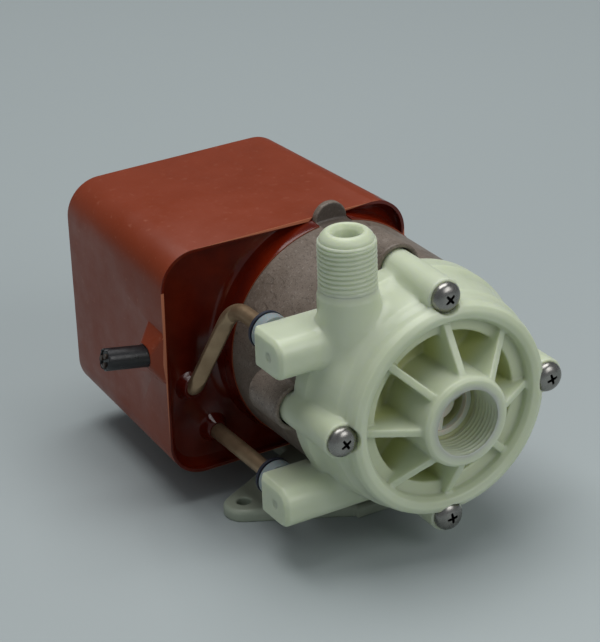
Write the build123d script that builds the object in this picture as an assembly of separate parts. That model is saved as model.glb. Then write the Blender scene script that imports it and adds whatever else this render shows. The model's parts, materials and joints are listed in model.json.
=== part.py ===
from build123d import *
import math
import os

# Magnetic drive pump with a liquid cooled, potted motor.
# Sizes are in millimetres. X runs to the right seen from the inlet, Y runs back to the motor, Z is up.
# Every depth below is measured back from the face of the inlet hub, along the pump axis.
# Part of the model is drawn round that axis, and place() sets it on its base at the end.

# Where the pump stands
shaft_height = 60.0
base_bolt_depth = 81.5

# Clearances
rest_gap = 0.3
slip_gap = 0.1
thread_gap = 0.05
running_gap = 0.04

# Inlet hub and its 3/4 inch female pipe thread
hub_radius = 17.7
hub_edge = 1.2
inlet_bore_radius = 12.8
inlet_thread_depth = 14.5
inlet_relief_radius = 13.3
inlet_relief_length = 1.5

# Ribbed front of the pump housing
rim_radius = 38.4
rim_round = 3.6
rim_facets = 5
rim_depth = 13.7
ledge_depth = 15.5
pocket_radius = 30.0
pocket_depth = 27.0
front_wall = 4.0
valley_depth = 19.5
shoulder_radius = 43.6
shoulder_rise = 1.0
flange_radius = 47.0
flange_thickness = 8.0
flange_round = 1.6
housing_depth = 45.0
rib_count = 8
rib_thickness = 3.0
rib_start_depth = 2.0
rib_end_radius = 35.6
rib_end_depth = 14.0

# Pumping chamber, a spiral that widens clockwise to the outlet
chamber_radius = 33.0
volute_radius = 38.0
cutwater_angle = 135.0

# Outlet pipe with a 1/2 inch male pipe thread
outlet_x = -28.2
outlet_depth = 34.3
outlet_top = 70.7
outlet_radius = 10.85
outlet_root_radius = 11.4
outlet_root_top = 46.3
outlet_thread_length = 20.0
outlet_lead_radius = 9.9
outlet_lead_length = 3.2
outlet_tip_radius = 8.2
outlet_tip_length = 2.0
outlet_bore_radius = 4.8
outlet_mouth_radius = 6.2
outlet_mouth_length = 1.6

# Side arms that carry the cooling water
arm_end_x = -59.5
arm_front_depth = 30.0
arm_back_depth = 50.0
arm_height = 16.0
arm_round = 6.5
arm_end_bevel = 1.6
upper_arm_z = 27.2
lower_arm_z = -33.2
arm_inner_x = -20.0
arm_ring_gap = 1.2
arm_passage_radius = 3.0

# Screws that hold the pump housing
screw_circle = 44.8
screw_boss_radius = 6.8
screw_boss_depth = 14.5
boss_spigot = 3.0
screw_radius = 3.0
screw_hole_gap = 0.2
screw_length = 42.0
screw_head_radius = 5.9
screw_head_height = 4.0

# Spindle, its spider and the thrust washers
spindle_radius = 3.175
spider_ring_radius = 12.0
spider_ring_thickness = 2.4
spider_ring_wall = 2.2
spider_hub_radius = 6.4
spider_hub_setback = 1.4
spider_hub_bevel = 1.0
spider_hub_length = 11.1
spider_vane_thickness = 2.4
spider_vane_length = 7.0
spider_vane_count = 3
spider_vane_angle = 20.0
spider_foot_inset = 0.6
spindle_seat_depth = 8.0
thrust_washer_radius = 5.8
front_washer_thickness = 1.5
rear_washer_thickness = 1.2

# Rear housing, the can between the two magnets
can_flange_radius = 41.5
can_flange_thickness = 4.0
can_radius = 24.2
can_wall = 2.0
can_depth = 83.5
can_bottom = 3.3
can_boss_radius = 8.0
can_boss_height = 4.0
o_ring_radius = 39.9
o_ring_section = 1.0
o_ring_squash = 0.25

# Impeller and its magnet
impeller_radius = 31.0
impeller_front_gap = 0.8
vane_height = 7.0
vane_count = 6
vane_thickness = 2.2
vane_curve_radius = 26.0
vane_inner_radius = 11.0
vane_inset = 0.6
back_plate = 3.5
shank_radius = 21.2
shank_end_gap = 0.8
bushing_radius = 6.0
bushing_holder_wall = 3.0
magnet_inner_radius = 10.0
magnet_outer_radius = 19.5
magnet_start_depth = 50.0
magnet_inset = 0.5

# Drive magnet and the hub on the motor shaft
drive_magnet_inner = 25.6
drive_magnet_outer = 33.0
drive_magnet_length = 26.0
drive_magnet_setback = 1.0
drive_cup_wall = 3.2
drive_cup_base = 4.5
drive_can_gap = 2.0
drive_boss_radius = 10.0
drive_boss_length = 11.0
set_screw_radius = 2.0
set_screw_length = 5.0

# Motor bracket, the cast ring between pump and motor
ring_radius = 45.3
ring_wall = 5.0
bracket_depth = 104.0
bracket_wall = 5.5
lobe_radius = 9.2
lobe_length = 20.0
pocket_clearance = 0.6
lug_x = 1.9
lug_height = 45.4
lug_radius = 7.0
lug_length = 3.0
lug_proud = 2.4
foot_lug_height = 46.4
foot_lug_radius = 7.1
foot_lug_length = 11.5
bearing_boss_radius = 13.0
bearing_radius = 8.0
bearing_length = 9.0
post_radius = 5.0

# Motor core: a C frame with its winding on the left
shaft_radius = 4.0
rotor_radius = 21.5
air_gap = 0.5
end_ring_length = 2.5
end_ring_inset = 1.5
end_ring_width = 6.5
core_front_depth = 124.0
core_length = 36.0
core_left_x = -48.0
core_right_x = 30.5
core_half_height = 31.0
core_limb = 14.0
core_corner = 3.0
window_right_x = -25.5
window_half_height = 16.0
shading_slot = 2.0
shading_inset = 5.0
shading_angle = 50.0
shading_rise = 1.0
winding_inset = 1.0
winding_corner = 3.0
bobbin_wall = 1.2
bobbin_flange = 1.5
motor_bolt_z = 26.5
motor_bolt_radius = 2.0
motor_bolt_head_radius = 3.8
motor_bolt_head_height = 2.6
motor_bolt_tip_inset = 2.0
rear_bracket_gap = 9.5
rear_bracket_thickness = 4.0
shaft_tail = 3.0

# Red potted motor housing
box_left = -71.3
box_right = 36.3
box_half_height = 47.0
box_front_depth = 97.9
box_back_depth = 186.8
box_corner = 14.5
box_draft_side = 4.0
box_draft_top = 1.0
box_back_edge = 1.5
rim_wall = 1.3
recess_depth = 5.2
recess_bevel = 2.6
collar_front_depth = 92.3
collar_lip = 0.5
collar_wall = 0.9
collar_taper_depth = 130.0
collar_taper_radius = 33.0
meniscus_radius = 50.5

# Cooling tube, one piece from the upper arm through the motor to the lower arm
tube_radius = 3.175
tube_x = -50.0
upper_tube_z = 28.8
lower_tube_z = -32.0
tube_seat = 6.0
upper_bend_depth = 80.5
upper_bend_radius = 14.0
well_entry_x = -59.2
well_entry_depth = 99.3
well_entry_z = -11.4
well_bend_radius = 5.5
hairpin_bend_radius = 9.0
sleeve_radius = 7.3
sleeve_length = 5.3
sleeve_bevel = 0.9
sleeve_spigot_radius = 5.0
sleeve_spigot_length = 4.0
seal_radius = 7.5
seal_thickness = 1.2
resin_foot_radius = 6.0
resin_foot_lip = 0.5
resin_foot_rise = 4.2

# Power cable, cut off short beside the motor
cable_radius = 4.4
cable_start = (-70.6, 104.0, 4.9)
cable_end = (-93.3, 105.1, 8.6)
core_wire_radius = 1.0
core_wire_circle = 2.0
core_wire_proud = 0.3
gusset_height = 23.0
gusset_length = 14.0
gusset_corner = 1.5
gusset_tip_size = 9.4
gusset_tip_corner = 3.6
gusset_tip_x = -76.5

# Base with four tapered ears
base_thickness = 5.0
base_bolt_spacing = 99.2
rear_bolt_spacing = 85.0
rear_bolt_offset = 70.5
base_bolt_radius = 2.8
ear_radius = 8.0
ear_angle = 28.0
spine_half_width = 16.0
base_edge_bevel = 1.2
base_screw_radius = 2.0
base_screw_head_radius = 3.8
base_screw_head_height = 2.2
base_screw_reach = 7.0
front_base_screw_depth = 61.5
base_pad_radius = 7.0
base_pad_margin = 2.0
rear_pad_length = 34.0
rear_pad_width = 44.0

# Depths that follow from the sizes above
chamber_front = pocket_depth + front_wall
spider_ring_depth = inlet_thread_depth + inlet_relief_length
spider_ring_back = spider_ring_depth + spider_ring_thickness
passage_radius = spider_ring_radius - spider_ring_wall
spider_hub_front = spider_ring_depth + spider_hub_setback
spider_hub_back = spider_hub_front + spider_hub_length
front_washer_back = spider_hub_back + front_washer_thickness
flange_front = housing_depth - flange_thickness
boss_back = housing_depth + boss_spigot
can_flange_back = housing_depth + can_flange_thickness
can_inside = can_depth - can_bottom
can_boss_front = can_inside - can_boss_height
rear_washer_front = can_boss_front - rear_washer_thickness
bushing_back = rear_washer_front - rest_gap
impeller_front = chamber_front + impeller_front_gap
back_plate_front = impeller_front + vane_height
back_plate_back = back_plate_front + back_plate
shank_back = can_inside - shank_end_gap
cup_base_front = can_depth + drive_can_gap
cup_base_back = cup_base_front + drive_cup_base
drive_boss_back = cup_base_front + drive_boss_length
drive_magnet_back = cup_base_front - drive_magnet_setback
drive_magnet_front = drive_magnet_back - drive_magnet_length
cup_radius = drive_magnet_outer + drive_cup_wall
ring_front = housing_depth + rest_gap
ring_inner = ring_radius - ring_wall
bracket_wall_front = bracket_depth - bracket_wall
lobe_back = ring_front + lobe_length
core_back = core_front_depth + core_length
rear_bracket_front = core_back + rear_bracket_gap
rear_bracket_back = rear_bracket_front + rear_bracket_thickness
front_bearing_back = bracket_depth + bearing_length
rear_bearing_front = rear_bracket_back - bearing_length
shaft_back = rear_bracket_back + shaft_tail
recess_floor = box_front_depth + recess_depth
sleeve_back = arm_back_depth + sleeve_length
seal_back = sleeve_back + seal_thickness
lug_front = box_front_depth - lug_proud
lug_back = lug_front + lug_length
foot_lug_front = bracket_depth - foot_lug_length
foot_lug_screw_depth = (foot_lug_front + bracket_depth) / 2


def along_y(radius, start, end, x=0.0, z=0.0):
    """A round bar along the pump axis, between two depths."""
    return Pos(x, (start + end) / 2, z) * Rot(90, 0, 0) * Cylinder(radius, end - start)


def along_x(radius, start, end, depth, z):
    """A round bar across the pump."""
    return Pos((start + end) / 2, depth, z) * Rot(0, 90, 0) * Cylinder(radius, end - start)


def along_z(radius, start, end, x, depth):
    """An upright round bar."""
    return Pos(x, depth, (start + end) / 2) * Cylinder(radius, end - start)


def block(x0, x1, y0, y1, z0, z1):
    """A plain block between two corners."""
    return Pos((x0 + x1) / 2, (y0 + y1) / 2, (z0 + z1) / 2) * Box(x1 - x0, y1 - y0, z1 - z0)


def turned(*points):
    """Turn a closed outline of (radius, depth) points round the pump axis."""
    return revolve(make_face(Polyline(*points, close=True)), Axis.Y, 360)


def tube(outer, inner, start, end, x=0.0, z=0.0):
    """A round tube along the pump axis."""
    return along_y(outer, start, end, x, z) - along_y(inner, start - 1, end + 1, x, z)


def slab(sketch, start, end):
    """Raise a flat outline, drawn in X and Z, between two depths."""
    return Pos(0, end, 0) * extrude(Plane.XZ * sketch, amount=end - start)


def around(shape, angle):
    """Turn a shape round the pump axis; 0 points right and 90 points up."""
    return Rot(0, -angle, 0) * shape


def screw_places():
    """Angles of the four housing screws."""
    return [90 * k for k in range(4)]


def polar(radius, angle):
    """X and Z of a point on a circle round the pump axis."""
    return radius * math.cos(math.radians(angle)), radius * math.sin(math.radians(angle))


def place(shape):
    """Set a shape drawn round the pump axis on its base."""
    return Pos(0, -base_bolt_depth, shaft_height) * shape


def housing_form():
    """Outer form of the pump housing: hub, dished ribbed face, round rim, shoulder and flange."""
    rim_start = -math.degrees(math.asin((ledge_depth - rim_depth) / rim_round))
    rim_points = []
    for k in range(rim_facets + 1):
        angle = math.radians(rim_start + (180 - rim_start) * k / rim_facets)
        rim_points.append((rim_radius - rim_round * math.cos(angle), rim_depth - rim_round * math.sin(angle)))
    return turned(
        (0, 0),
        (hub_radius - hub_edge, 0),
        (hub_radius, hub_edge),
        (hub_radius, pocket_depth),
        (pocket_radius, pocket_depth),
        (pocket_radius, ledge_depth),
        *rim_points,
        (rim_radius + rim_round, valley_depth),
        (shoulder_radius, valley_depth + shoulder_rise),
        (flange_radius - flange_round, flange_front - flange_round),
        (flange_radius, flange_front),
        (flange_radius, housing_depth),
        (0, housing_depth),
    )


def housing_rib(angle):
    """One rib from the inlet hub to the rim."""
    root = hub_radius - hub_edge
    outline = Polyline(
        (root, rib_start_depth),
        (rib_end_radius, rib_end_depth),
        (rib_end_radius, pocket_depth + 1),
        (root, pocket_depth + 1),
        close=True,
    )
    rib = extrude(make_face(outline), amount=rib_thickness / 2, both=True)
    return around(rib, angle)


def bracket_ring_space():
    """Room for the bracket ring behind the back face of the pump housing."""
    return along_y(ring_radius + arm_ring_gap, housing_depth, arm_back_depth + 1)


def side_arm(z):
    """One side arm with its rounded front, and its back cut clear of the bracket ring."""
    arm = block(
        arm_end_x, arm_inner_x, arm_front_depth, arm_back_depth, z - arm_height / 2, z + arm_height / 2
    )
    front_edges = arm.edges().filter_by(Axis.X).group_by(Axis.Y)[0]
    arm = fillet(front_edges, arm_round)
    arm = chamfer(arm.faces().sort_by(Axis.X)[0].edges(), arm_end_bevel)
    return arm - bracket_ring_space()


def volute_space():
    """Spiral chamber for the impeller, open to the back."""
    arcs = 3
    steps = 2 * arcs
    sweep_angle = cutwater_angle + 180
    points = []
    for k in range(steps + 1):
        share = k / steps
        radius = chamber_radius + (volute_radius - chamber_radius) * share
        points.append(polar(radius, cutwater_angle - sweep_angle * share))
    edges = [Line(points[-1], points[0])]
    for k in range(0, steps, 2):
        edges.append(ThreePointArc(*points[k:k + 3]))
    spiral = make_face(edges)
    round_part = along_y(chamber_radius, chamber_front, housing_depth + 1)
    return round_part + slab(spiral, chamber_front, housing_depth + 1)


def screw_boss(angle):
    """One screw boss; its back end enters a pocket of the bracket, outside the can's flange."""
    x, z = polar(screw_circle, angle)
    boss = along_y(screw_boss_radius, screw_boss_depth, boss_back, x, z)
    return boss - along_y(can_flange_radius + rest_gap, housing_depth, boss_back + 1)


def cone_up(bottom_radius, top_radius, start, end):
    """A cone on the middle line of the outlet, between two heights."""
    return Pos(outlet_x, outlet_depth, (start + end) / 2) * Cone(bottom_radius, top_radius, end - start)


def outlet_pipe():
    """Outlet pipe, a little wider below its thread, with a plain lead and a bevelled tip."""
    tip = outlet_top - outlet_tip_length
    lead = outlet_top - outlet_lead_length
    thread_bottom = lead - outlet_thread_length
    pipe = along_z(outlet_root_radius, 0, outlet_root_top, outlet_x, outlet_depth)
    pipe += cone_up(outlet_root_radius, outlet_radius, outlet_root_top, thread_bottom)
    pipe += along_z(outlet_radius, thread_bottom, lead, outlet_x, outlet_depth)
    pipe += along_z(outlet_lead_radius, lead, tip, outlet_x, outlet_depth)
    pipe += cone_up(outlet_lead_radius, outlet_tip_radius, tip, outlet_top)
    return pipe - bracket_ring_space()


def front_housing():
    """Moulded pump housing with inlet, outlet, arms, ribs and screw bosses."""
    housing = housing_form()
    for k in range(rib_count):
        housing += housing_rib(360 / rib_count * k)
    for angle in screw_places():
        housing += screw_boss(angle)
    housing += outlet_pipe()
    housing += side_arm(upper_arm_z) + side_arm(lower_arm_z)

    housing -= along_y(inlet_bore_radius, -1, inlet_thread_depth)
    housing -= along_y(inlet_relief_radius, inlet_thread_depth, spider_ring_depth)
    housing -= along_y(spider_ring_radius + rest_gap, inlet_thread_depth, spider_ring_back)
    housing -= along_y(passage_radius, 0, chamber_front + 1)
    housing -= volute_space()
    housing -= along_z(outlet_bore_radius, upper_arm_z - arm_height / 2, outlet_top + 1, outlet_x, outlet_depth)
    housing -= cone_up(outlet_bore_radius, outlet_mouth_radius, outlet_top - outlet_mouth_length, outlet_top)
    groove_half = o_ring_section + slip_gap
    housing -= tube(
        o_ring_radius + groove_half,
        o_ring_radius - groove_half,
        housing_depth - 2 * o_ring_section + o_ring_squash,
        housing_depth + 1,
    )
    for angle in screw_places():
        x, z = polar(screw_circle, angle)
        housing -= along_y(screw_radius + screw_hole_gap, 0, boss_back + 1, x, z)
        housing -= along_y(screw_head_radius + slip_gap, 0, screw_boss_depth, x, z)
    for z, tube_z, passage_end in (
        (upper_arm_z, upper_tube_z, outlet_x),
        (lower_arm_z, lower_tube_z, -chamber_radius / 2),
    ):
        seat_front = arm_back_depth - sleeve_spigot_length - tube_seat
        housing -= along_y(
            sleeve_spigot_radius + slip_gap, arm_back_depth - sleeve_spigot_length, arm_back_depth + 1, tube_x, tube_z
        )
        housing -= along_y(tube_radius + slip_gap, seat_front, arm_back_depth + 1, tube_x, tube_z)
        housing -= along_x(
            arm_passage_radius, tube_x - tube_radius, passage_end, seat_front, (z + tube_z) / 2
        )
    return housing


def rear_housing():
    """Can that keeps the liquid in, between the drive magnet and the impeller magnet."""
    can = along_y(can_flange_radius, housing_depth, can_flange_back)
    can += along_y(can_radius, housing_depth, can_depth)
    can -= along_y(can_radius - can_wall, housing_depth - 1, can_inside)
    can += along_y(can_boss_radius, can_boss_front, can_inside + 1)
    return can - along_y(spindle_radius, can_boss_front - 1, can_inside + can_bottom / 2)


def housing_o_ring():
    """Seal in the groove of the pump housing, squashed flat between groove and can."""
    height = 2 * o_ring_section - o_ring_squash
    flat = o_ring_section / 2
    front = housing_depth - height
    return turned(
        (o_ring_radius - flat, front),
        (o_ring_radius + flat, front),
        (o_ring_radius + o_ring_section, front + height / 2),
        (o_ring_radius + flat, housing_depth),
        (o_ring_radius - flat, housing_depth),
        (o_ring_radius - o_ring_section, front + height / 2),
    )


def domed_head(radius, height, seat):
    """Outline of a pan head in a few chords, from its middle to its rim at the seat."""
    steps = 4
    points = []
    for k in range(steps + 1):
        angle = math.radians(90 * k / steps)
        points.append((radius * math.sin(angle), seat - height * math.cos(angle)))
    return points


def housing_screws():
    """Four pan head screws through the bosses into the bracket."""
    screw = turned(
        *domed_head(screw_head_radius, screw_head_height, screw_boss_depth),
        (screw_radius, screw_boss_depth),
        (screw_radius, screw_boss_depth + screw_length),
        (0, screw_boss_depth + screw_length),
    )
    screws = []
    for angle in screw_places():
        x, z = polar(screw_circle, angle)
        screws.append(Pos(x, 0, z) * screw)
    return Compound(screws)


def spindle_support():
    """Spider in the inlet that holds the front end of the spindle."""
    spider = tube(spider_ring_radius, passage_radius, spider_ring_depth, spider_ring_back)
    hub_nose = spider_hub_front + spider_hub_bevel
    hub = turned(
        (0, spider_hub_front),
        (spider_hub_radius - spider_hub_bevel, spider_hub_front),
        (spider_hub_radius, hub_nose),
        (spider_hub_radius, spider_hub_back),
        (0, spider_hub_back),
    )
    vane = block(
        0,
        passage_radius - slip_gap,
        spider_hub_front,
        hub_nose + spider_vane_length,
        -spider_vane_thickness / 2,
        spider_vane_thickness / 2,
    )
    foot = block(
        0,
        spider_ring_radius - spider_ring_wall / 2,
        spider_ring_depth + spider_foot_inset,
        spider_ring_back,
        -spider_vane_thickness / 2,
        spider_vane_thickness / 2,
    )
    for k in range(spider_vane_count):
        hub += around(vane + foot, spider_vane_angle + 360 / spider_vane_count * k)
    return spider + hub - along_y(spindle_radius, spider_hub_back - spindle_seat_depth, spider_hub_back + 1)


def spindle():
    """Fixed ceramic spindle that the impeller turns on."""
    return along_y(spindle_radius, spider_hub_back - spindle_seat_depth, can_inside + can_bottom / 2)


def front_thrust_washer():
    """Washer between the spider and the impeller bushing."""
    return tube(thrust_washer_radius, spindle_radius, spider_hub_back, front_washer_back)


def rear_thrust_washer():
    """Washer between the impeller bushing and the bottom of the can."""
    return tube(thrust_washer_radius, spindle_radius, rear_washer_front, can_boss_front)


def impeller_vane(angle):
    """One vane, curved back against the turning direction."""
    bow = vane_curve_radius
    half = vane_thickness / 2
    arc_ring = tube(bow + half, bow - half, impeller_front, back_plate_front + 0.5, 0, bow + half)
    reach = tube(impeller_radius - vane_inset, vane_inner_radius, impeller_front, back_plate_front + 0.5)
    quadrant = block(0, impeller_radius + 1, impeller_front - 1, back_plate_front + 1, -2, impeller_radius)
    return around(arc_ring & reach & quadrant, angle)


def impeller():
    """Impeller with open vanes in front and the magnet holder behind."""
    wheel = along_y(impeller_radius, back_plate_front, back_plate_back)
    wheel += along_y(bushing_radius + bushing_holder_wall, impeller_front, shank_back)
    wheel += along_y(shank_radius, back_plate_front, shank_back)
    for k in range(vane_count):
        wheel += impeller_vane(360 / vane_count * k)
    wheel -= along_y(bushing_radius, impeller_front - 1, shank_back + 1)
    wheel -= along_y(can_boss_radius + 2 * rest_gap, bushing_back, shank_back + 1)
    return wheel - tube(magnet_outer_radius, magnet_inner_radius, magnet_start_depth, shank_back + 1)


def impeller_magnet():
    """Ring magnet carried by the impeller."""
    return tube(magnet_outer_radius, magnet_inner_radius, magnet_start_depth, shank_back - magnet_inset)


def impeller_bushing():
    """Carbon bushing that runs on the spindle."""
    return tube(bushing_radius, spindle_radius + running_gap, front_washer_back + rest_gap, bushing_back)


def drive_hub():
    """Cup on the motor shaft that carries the drive magnet."""
    cup = along_y(cup_radius, drive_magnet_front, cup_base_back)
    cup -= along_y(drive_magnet_outer, drive_magnet_front - 1, drive_magnet_back)
    cup -= along_y(drive_magnet_inner, drive_magnet_front - 1, cup_base_front)
    cup += along_y(drive_boss_radius, cup_base_front, drive_boss_back)
    cup -= along_y(shaft_radius, cup_base_front - 1, drive_boss_back + 1)
    return cup - along_z(set_screw_radius, 0, drive_boss_radius + 1, 0, set_screw_depth())


def set_screw_depth():
    """Middle of the hub boss behind the cup."""
    return (cup_base_back + drive_boss_back) / 2


def drive_magnet():
    """Ring magnet in the cup."""
    return tube(drive_magnet_outer, drive_magnet_inner, drive_magnet_front, drive_magnet_back)


def hub_set_screw():
    """Set screw that locks the hub on the shaft."""
    return along_z(set_screw_radius, shaft_radius, shaft_radius + set_screw_length, 0, set_screw_depth())


def motor_shaft():
    """Steel shaft of the motor."""
    return along_y(shaft_radius, cup_base_front, shaft_back)


def rotor_core():
    """Laminated rotor with its cast end rings."""
    rotor = along_y(rotor_radius, core_front_depth, core_back)
    for start, end in (
        (core_front_depth - end_ring_length, core_front_depth),
        (core_back, core_back + end_ring_length),
    ):
        outer = rotor_radius - end_ring_inset
        rotor += tube(outer, outer - end_ring_width, start, end)
    return rotor - along_y(shaft_radius, core_front_depth - 1, core_back + 1)


def motor_bracket():
    """Cast ring with screw lobes, top and bottom lugs, back wall and the front bearing boss."""
    bracket = along_y(ring_radius, ring_front, bracket_depth)
    for angle in screw_places():
        x, z = polar(screw_circle, angle)
        bracket += along_y(lobe_radius, ring_front, lobe_back, x, z)
    bracket += along_y(lug_radius, lug_front, lug_back, lug_x, lug_height)
    bracket += along_y(foot_lug_radius, foot_lug_front, bracket_depth, 0, -foot_lug_height)
    bracket -= along_y(ring_inner, can_flange_back, bracket_wall_front)
    bracket -= along_y(can_flange_radius + slip_gap, ring_front - 1, can_flange_back)
    for angle in screw_places():
        x, z = polar(screw_circle, angle)
        pocket_back = boss_back + rest_gap
        bracket -= along_y(screw_boss_radius + pocket_clearance, ring_front - 1, pocket_back, x, z)
        bracket += tube(screw_boss_radius, screw_radius, can_flange_back, lobe_back, x, z)
        bracket -= along_y(
            screw_radius + thread_gap, pocket_back - 1, screw_boss_depth + screw_length + 1, x, z
        )
    bracket += along_y(bearing_boss_radius, bracket_depth, front_bearing_back)
    for z in (motor_bolt_z, -motor_bolt_z):
        bracket += along_y(post_radius, bracket_depth, core_front_depth, 0, z)
        bracket -= along_y(
            motor_bolt_radius + thread_gap, bracket_wall_front + 1, core_front_depth + 1, 0, z
        )
    bracket -= along_y(shaft_radius + 2 * rest_gap, bracket_wall_front - 1, bracket_depth)
    bracket -= along_y(bearing_radius, bracket_depth, front_bearing_back + 1)
    for depth, seat in base_screw_seats():
        bracket -= along_z(base_screw_radius + thread_gap, -seat - 1, -seat + base_screw_reach + 1, 0, depth)
    return bracket


def base_screw_seats():
    """Depth of each base screw, and how far below the axis the casting rests on its pad."""
    return (
        (front_base_screw_depth, screw_circle + lobe_radius),
        (foot_lug_screw_depth, foot_lug_height + foot_lug_radius),
    )


def bearing(start, end):
    """Sintered sleeve bearing."""
    return tube(bearing_radius, shaft_radius + running_gap, start, end)


def rear_bearing_bracket():
    """Plate behind the motor core that holds the rear bearing."""
    plate = along_y(core_half_height, rear_bracket_front, rear_bracket_back)
    plate += along_y(bearing_boss_radius, rear_bearing_front, rear_bracket_back)
    plate -= along_y(bearing_radius, rear_bearing_front - 1, rear_bracket_back + 1)
    for z in (motor_bolt_z, -motor_bolt_z):
        plate += along_y(post_radius, core_back, rear_bracket_front, 0, z)
        plate -= along_y(motor_bolt_radius + slip_gap, core_back - 1, rear_bracket_back + 1, 0, z)
    return plate


def core_outline():
    """Laminations seen from the front: a C frame with the rotor bore at its open side."""
    width = core_right_x - core_left_x
    frame = Pos((core_left_x + core_right_x) / 2, 0) * RectangleRounded(
        width, 2 * core_half_height, core_corner
    )
    window_left = core_left_x + core_limb
    window = Pos((window_left + window_right_x) / 2, 0) * Rectangle(
        window_right_x - window_left, 2 * window_half_height
    )
    frame = frame - window - Circle(rotor_radius + air_gap)
    for x, z in shading_places():
        frame -= Pos(x, z) * Rectangle(shading_slot, shading_inset)
    for z in (motor_bolt_z, -motor_bolt_z):
        frame -= Pos(0, z) * Circle(motor_bolt_radius + slip_gap)
    return frame


def shading_places():
    """Middle of each shading slot, cut into a pole face from the rotor bore."""
    x, z = polar(rotor_radius + air_gap, shading_angle)
    return ((x, z + shading_rise), (-x, -z - shading_rise))


def stator_core():
    """Stack of steel laminations."""
    return slab(core_outline(), core_front_depth, core_back)


def shading_rings():
    """Copper bars in the slots of the poles."""
    rings = []
    for x, z in shading_places():
        end = z + math.copysign(shading_inset / 2, z)
        half = shading_slot / 2
        rings.append(block(x - half, x + half, core_front_depth, core_back, min(z, end), max(z, end)))
    return Compound(rings)


def limb_block(grow, half_height):
    """A block round the left limb of the core, larger than the limb by grow on every side."""
    return block(
        core_left_x - grow,
        core_left_x + core_limb + grow,
        core_front_depth - grow,
        core_back + grow,
        -half_height,
        half_height,
    )


def bobbin_reach():
    """How far the bobbin flanges reach out from the limb: as far as the window lets them."""
    return window_right_x - core_left_x - core_limb


def coil_bobbin():
    """Plastic bobbin on the left limb, with a flange at each end."""
    flange_grow = bobbin_reach()
    bobbin = limb_block(bobbin_wall, window_half_height)
    for z in (window_half_height, -window_half_height):
        inner = z - math.copysign(bobbin_flange, z)
        bobbin += block(
            core_left_x - flange_grow,
            core_left_x + core_limb + flange_grow,
            core_front_depth - flange_grow,
            core_back + flange_grow,
            min(z, inner),
            max(z, inner),
        )
    return bobbin - limb_block(0, window_half_height + 1)


def motor_winding():
    """Copper winding on the bobbin."""
    half_height = window_half_height - bobbin_flange
    winding = limb_block(bobbin_reach() - winding_inset, half_height)
    winding = fillet(winding.edges().filter_by(Axis.Z), winding_corner)
    return winding - limb_block(bobbin_wall, half_height + 1)


def motor_bolts():
    """Two bolts that clamp rear bracket, core and motor bracket together."""
    bolts = []
    for z in (motor_bolt_z, -motor_bolt_z):
        bolt = along_y(
            motor_bolt_radius, bracket_wall_front + motor_bolt_tip_inset, rear_bracket_back, 0, z
        )
        head_back = rear_bracket_back + motor_bolt_head_height
        bolts.append(bolt + along_y(motor_bolt_head_radius, rear_bracket_back, head_back, 0, z))
    return Compound(bolts)


def box_section(depth, grow):
    """Cross-section of the potted housing at one depth, moved in or out by grow."""
    share = (depth - box_front_depth) / (box_back_depth - box_front_depth)
    left = box_left + box_draft_side * share - grow
    right = box_right - box_draft_side * share + grow
    half_height = box_half_height - box_draft_top * share + grow
    outline = Pos((left + right) / 2, 0) * RectangleRounded(right - left, 2 * half_height, box_corner + grow)
    return Pos(0, depth, 0) * (Plane.XZ * outline)


def box_form():
    """Tapered box with rounded long edges and a crisp back."""
    form = loft([box_section(box_front_depth, 0), box_section(box_back_depth, 0)], ruled=True)
    return chamfer(form.faces().sort_by(Axis.Y)[-1].edges(), box_back_edge)


def recess_space():
    """Shallow well in the front of the box, sloped where it meets the rim wall."""
    well = loft(
        [box_section(box_front_depth - 1, -rim_wall), box_section(recess_floor, -rim_wall)], ruled=True
    )
    return chamfer(well.faces().sort_by(Axis.Y)[-1].edges(), recess_bevel)


def collar_form():
    """Red collar that creeps up the bracket ring and tapers back into the box."""
    collar_radius = ring_radius + collar_wall
    return turned(
        (0, collar_front_depth),
        (ring_radius + collar_lip, collar_front_depth),
        (collar_radius, box_front_depth),
        (collar_radius, bracket_depth),
        (collar_taper_radius, collar_taper_depth),
        (0, collar_taper_depth),
    )


def meniscus_form():
    """Curved foot of the collar on the floor of the well."""
    collar_radius = ring_radius + collar_wall
    width = meniscus_radius - collar_radius
    rise = recess_floor - box_front_depth
    return turned(
        (0, box_front_depth),
        (collar_radius - 0.2, box_front_depth),
        (collar_radius + width * 0.3, recess_floor - rise * 0.3),
        (meniscus_radius, recess_floor),
        (meniscus_radius, recess_floor + 1),
        (0, recess_floor + 1),
    )


def cable_bar(radius, grow=0.0):
    """Straight bar along the power cable."""
    start = Vector(*cable_start)
    direction = Vector(*cable_end) - start
    length = direction.length + grow
    bar_plane = Plane(origin=start, z_dir=direction)
    return bar_plane * Pos(0, 0, length / 2) * Cylinder(radius, length)


def gusset_section(x, front, length, height, middle_z, corner):
    """Upright cross-section of the gusset at one distance from the pump axis."""
    section_plane = Plane(origin=(x, front + length / 2, middle_z), x_dir=(0, 1, 0), z_dir=(-1, 0, 0))
    return section_plane * RectangleRounded(length, height, corner)


def cable_gusset():
    """Fin of the left wall round the cable, its front level with the rim of the box."""
    wall = gusset_section(
        box_left + rim_wall / 2,
        box_front_depth,
        gusset_length,
        gusset_height,
        cable_start[2],
        gusset_corner,
    )
    middle = cable_place(gusset_tip_x)
    tip = gusset_section(
        gusset_tip_x,
        middle.Y - gusset_tip_size / 2,
        gusset_tip_size,
        gusset_tip_size,
        middle.Z,
        gusset_tip_corner,
    )
    return loft([wall, tip], ruled=True)


def cable_place(x):
    """Point on the cable's middle line at a given X."""
    start = Vector(*cable_start)
    direction = Vector(*cable_end) - start
    return start + direction * ((x - start.X) / direction.X)


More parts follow.
